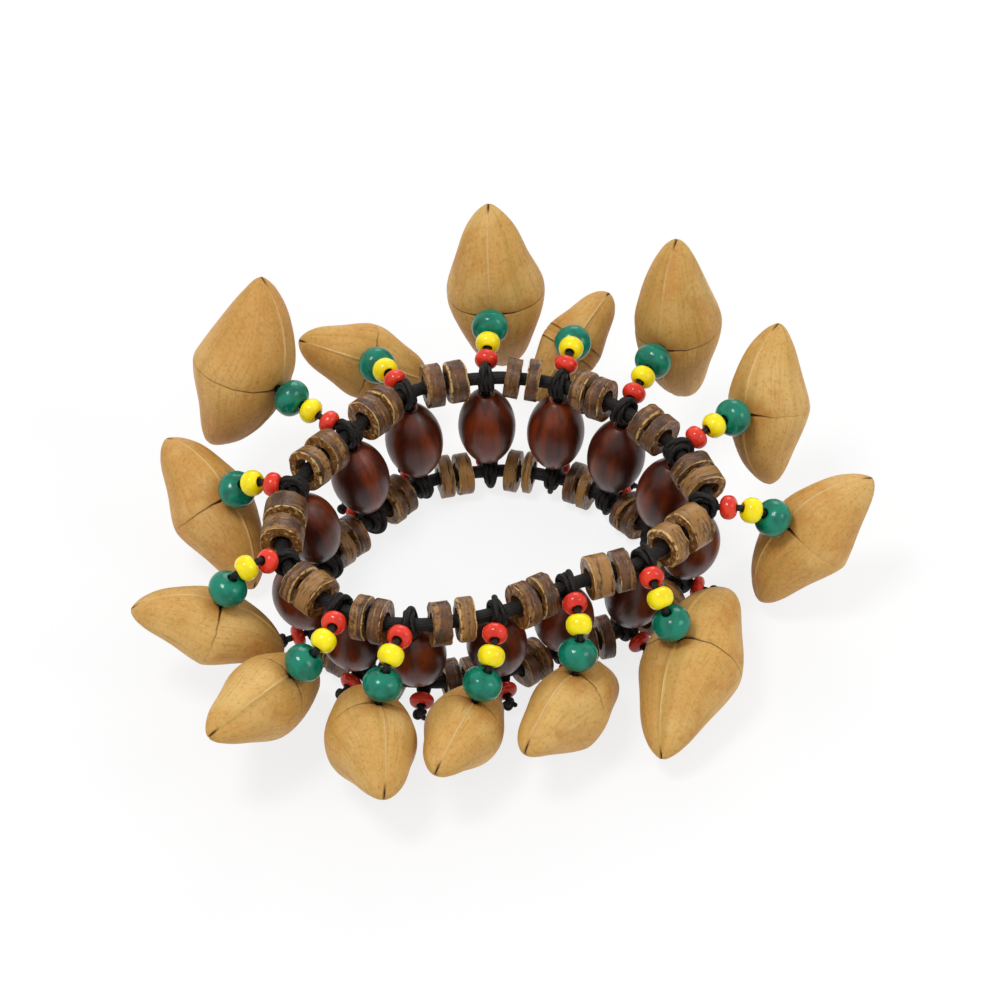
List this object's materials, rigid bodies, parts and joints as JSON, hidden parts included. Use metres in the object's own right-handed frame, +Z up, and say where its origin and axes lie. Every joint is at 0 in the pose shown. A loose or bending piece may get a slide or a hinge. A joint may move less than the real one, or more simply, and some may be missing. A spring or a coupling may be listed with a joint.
{
  "type": "seed shaker bracelet",
  "caption": "Rattling wrist or ankle bracelet: a stretchy beaded band whose rungs each carry a dangling hollow nut shell that knocks against its neighbours.",
  "frame": {"origin": "middle of the band's ring at the level of the surface it stands on", "axes": "+Z up through the wrist opening, -Y towards the viewer of the picture, +X to the right"},
  "size_m": [0.1219, 0.1148, 0.0442],
  "materials": {
    "cord": "black waxed and elastic cord",
    "coconut": "turned coconut shell, dark bark sides and tan faces",
    "dark_wood": "glossy dark red-brown stain",
    "red_glass": "opaque glossy glass",
    "nut_shell": "satin natural nut shell",
    "green_wood": "glossy green paint",
    "yellow_glass": "opaque glossy glass"
  },
  "bodies": {
    "band": {"cords": "cord", "coconut_discs": "coconut", "barrel_beads": "dark_wood", "red_beads": "red_glass"},
    "dangle_01": {"shell_01": "nut_shell", "green_bead_01": "green_wood", "yellow_bead_01": "yellow_glass", "strand_01": "cord"},
    "dangle_02": {"shell_02": "nut_shell", "green_bead_02": "green_wood", "yellow_bead_02": "yellow_glass", "strand_02": "cord"},
    "dangle_03": {"shell_03": "nut_shell", "green_bead_03": "green_wood", "yellow_bead_03": "yellow_glass", "strand_03": "cord"},
    "dangle_04": {"shell_04": "nut_shell", "green_bead_04": "green_wood", "yellow_bead_04": "yellow_glass", "strand_04": "cord"},
    "dangle_05": {"shell_05": "nut_shell", "green_bead_05": "green_wood", "yellow_bead_05": "yellow_glass", "strand_05": "cord"},
    "dangle_06": {"shell_06": "nut_shell", "green_bead_06": "green_wood", "yellow_bead_06": "yellow_glass", "strand_06": "cord"},
    "dangle_07": {"shell_07": "nut_shell", "green_bead_07": "green_wood", "yellow_bead_07": "yellow_glass", "strand_07": "cord"},
    "dangle_08": {"shell_08": "nut_shell", "green_bead_08": "green_wood", "yellow_bead_08": "yellow_glass", "strand_08": "cord"},
    "dangle_09": {"shell_09": "nut_shell", "green_bead_09": "green_wood", "yellow_bead_09": "yellow_glass", "strand_09": "cord"},
    "dangle_10": {"shell_10": "nut_shell", "green_bead_10": "green_wood", "yellow_bead_10": "yellow_glass", "strand_10": "cord"},
    "dangle_11": {"shell_11": "nut_shell", "green_bead_11": "green_wood", "yellow_bead_11": "yellow_glass", "strand_11": "cord"},
    "dangle_12": {"shell_12": "nut_shell", "green_bead_12": "green_wood", "yellow_bead_12": "yellow_glass", "strand_12": "cord"},
    "dangle_13": {"shell_13": "nut_shell", "green_bead_13": "green_wood", "yellow_bead_13": "yellow_glass", "strand_13": "cord"},
    "dangle_14": {"shell_14": "nut_shell", "green_bead_14": "green_wood", "yellow_bead_14": "yellow_glass", "strand_14": "cord"}
  },
  "joints": [
    {"name": "dangle_01_swing", "type": "hinge", "parent": "band", "child": "dangle_01", "pos_m": [-0.02808, 0.01829, 0.0265], "axis": [0.6216, 0.7834, 0], "range_deg": [-10, 45]},
    {"name": "dangle_02_swing", "type": "hinge", "parent": "band", "child": "dangle_02", "pos_m": [-0.0167, 0.02976, 0.02569], "axis": [0.8593, 0.5115, 0], "range_deg": [-15, 50]},
    {"name": "dangle_03_swing", "type": "hinge", "parent": "band", "child": "dangle_03", "pos_m": [-0.00019, 0.03448, 0.02682], "axis": [0.9963, 0.0862, 0], "range_deg": [-8, 50]},
    {"name": "dangle_04_swing", "type": "hinge", "parent": "band", "child": "dangle_04", "pos_m": [0.01374, 0.03198, 0.02821], "axis": [0.9458, -0.3247, 0], "range_deg": [-10, 40]},
    {"name": "dangle_05_swing", "type": "hinge", "parent": "band", "child": "dangle_05", "pos_m": [0.0254, 0.026, 0.0267], "axis": [0.7683, -0.64, 0], "range_deg": [-20, 50]},
    {"name": "dangle_06_swing", "type": "hinge", "parent": "band", "child": "dangle_06", "pos_m": [0.03609, 0.01383, 0.02743], "axis": [0.4857, -0.8741, 0], "range_deg": [-15, 50]},
    {"name": "dangle_07_swing", "type": "hinge", "parent": "band", "child": "dangle_07", "pos_m": [0.04118, -0.00275, 0.02566], "axis": [-0.2393, -0.9709, 0], "range_deg": [-10, 50]},
    {"name": "dangle_08_swing", "type": "hinge", "parent": "band", "child": "dangle_08", "pos_m": [0.02681, -0.01996, 0.02502], "axis": [-0.7796, -0.6262, 0], "range_deg": [-3, 50]},
    {"name": "dangle_09_swing", "type": "hinge", "parent": "band", "child": "dangle_09", "pos_m": [0.0144, -0.02569, 0.02496], "axis": [-0.8972, -0.4417, 0], "range_deg": [-4, 15]},
    {"name": "dangle_10_swing", "type": "hinge", "parent": "band", "child": "dangle_10", "pos_m": [0.00114, -0.03189, 0.02425], "axis": [-0.9513, -0.3083, 0], "range_deg": [-4, 18]},
    {"name": "dangle_11_swing", "type": "hinge", "parent": "band", "child": "dangle_11", "pos_m": [-0.01437, -0.03367, 0.02614], "axis": [-0.9983, 0.0588, 0], "range_deg": [-6, 50]},
    {"name": "dangle_12_swing", "type": "hinge", "parent": "band", "child": "dangle_12", "pos_m": [-0.02458, -0.03031, 0.02562], "axis": [-0.8222, 0.5693, 0], "range_deg": [-2, 50]},
    {"name": "dangle_13_swing", "type": "hinge", "parent": "band", "child": "dangle_13", "pos_m": [-0.03665, -0.01718, 0.02787], "axis": [-0.2919, 0.9565, 0], "range_deg": [-2, 50]},
    {"name": "dangle_14_swing", "type": "hinge", "parent": "band", "child": "dangle_14", "pos_m": [-0.03719, 0.00391, 0.02513], "axis": [0.295, 0.9555, 0], "range_deg": [-8, 50]}
  ]
}
